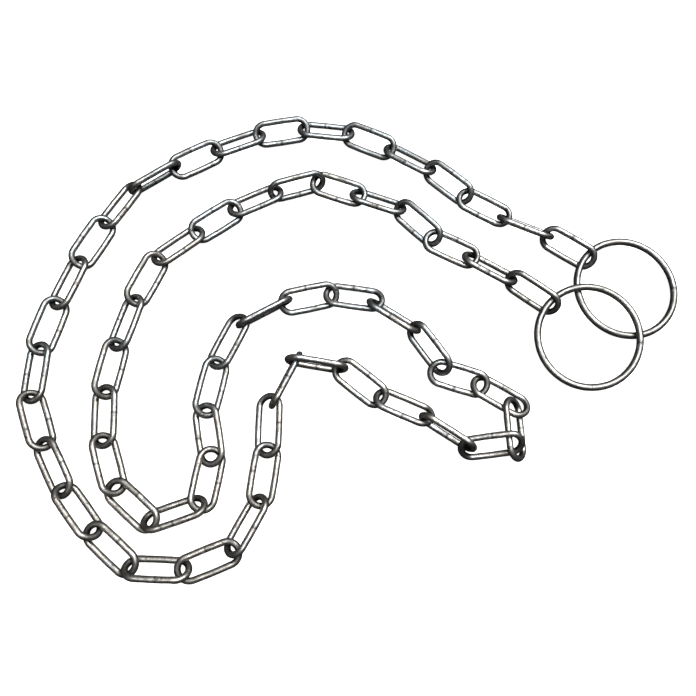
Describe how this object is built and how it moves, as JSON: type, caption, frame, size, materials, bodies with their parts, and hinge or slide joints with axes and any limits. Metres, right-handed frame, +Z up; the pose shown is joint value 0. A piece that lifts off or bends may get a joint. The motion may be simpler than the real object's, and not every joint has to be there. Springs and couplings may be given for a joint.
{
  "type": "long-link steel chain with end rings",
  "caption": "Length of welded long-link steel chain laid loosely in a hairpin on the floor, with a round ring hooked on each end.",
  "frame": {"origin": "middle of the whole length's box, on the floor it lies on", "axes": "+Z up from the floor, +X the way from the hairpin's bend towards the end rings, +Y towards the outer run of links"},
  "size_m": [0.4097, 0.3105, 0.022],
  "materials": {
    "zinc_plated_steel": "dull grey zinc coating with bright soft highlights, darker where the links rub"
  },
  "bodies": {
    "root": {"link_02": "zinc_plated_steel", "link_03": "zinc_plated_steel", "link_04": "zinc_plated_steel", "link_05": "zinc_plated_steel", "link_06": "zinc_plated_steel", "link_07": "zinc_plated_steel", "link_08": "zinc_plated_steel", "link_09": "zinc_plated_steel", "link_10": "zinc_plated_steel", "link_11": "zinc_plated_steel", "link_12": "zinc_plated_steel", "link_13": "zinc_plated_steel", "link_14": "zinc_plated_steel", "link_15": "zinc_plated_steel", "link_16": "zinc_plated_steel", "link_17": "zinc_plated_steel", "link_18": "zinc_plated_steel", "link_19": "zinc_plated_steel", "link_20": "zinc_plated_steel", "link_21": "zinc_plated_steel", "link_22": "zinc_plated_steel", "link_23": "zinc_plated_steel", "link_24": "zinc_plated_steel", "link_25": "zinc_plated_steel", "link_26": "zinc_plated_steel", "link_27": "zinc_plated_steel", "link_28": "zinc_plated_steel", "link_29": "zinc_plated_steel", "link_30": "zinc_plated_steel", "link_31": "zinc_plated_steel", "link_32": "zinc_plated_steel", "link_33": "zinc_plated_steel", "link_34": "zinc_plated_steel", "link_35": "zinc_plated_steel", "link_36": "zinc_plated_steel", "link_37": "zinc_plated_steel", "link_38": "zinc_plated_steel", "link_39": "zinc_plated_steel", "link_40": "zinc_plated_steel", "link_41": "zinc_plated_steel", "link_42": "zinc_plated_steel", "link_43": "zinc_plated_steel", "link_44": "zinc_plated_steel", "link_45": "zinc_plated_steel", "link_46": "zinc_plated_steel", "link_47": "zinc_plated_steel", "link_48": "zinc_plated_steel", "link_49": "zinc_plated_steel", "link_50": "zinc_plated_steel", "link_51": "zinc_plated_steel", "link_52": "zinc_plated_steel", "link_53": "zinc_plated_steel", "link_54": "zinc_plated_steel", "link_55": "zinc_plated_steel", "link_56": "zinc_plated_steel", "link_57": "zinc_plated_steel", "link_58": "zinc_plated_steel", "link_59": "zinc_plated_steel", "ring_a_with_link_01": "zinc_plated_steel", "ring_b_with_link_60": "zinc_plated_steel"}
  },
  "joints": []
}
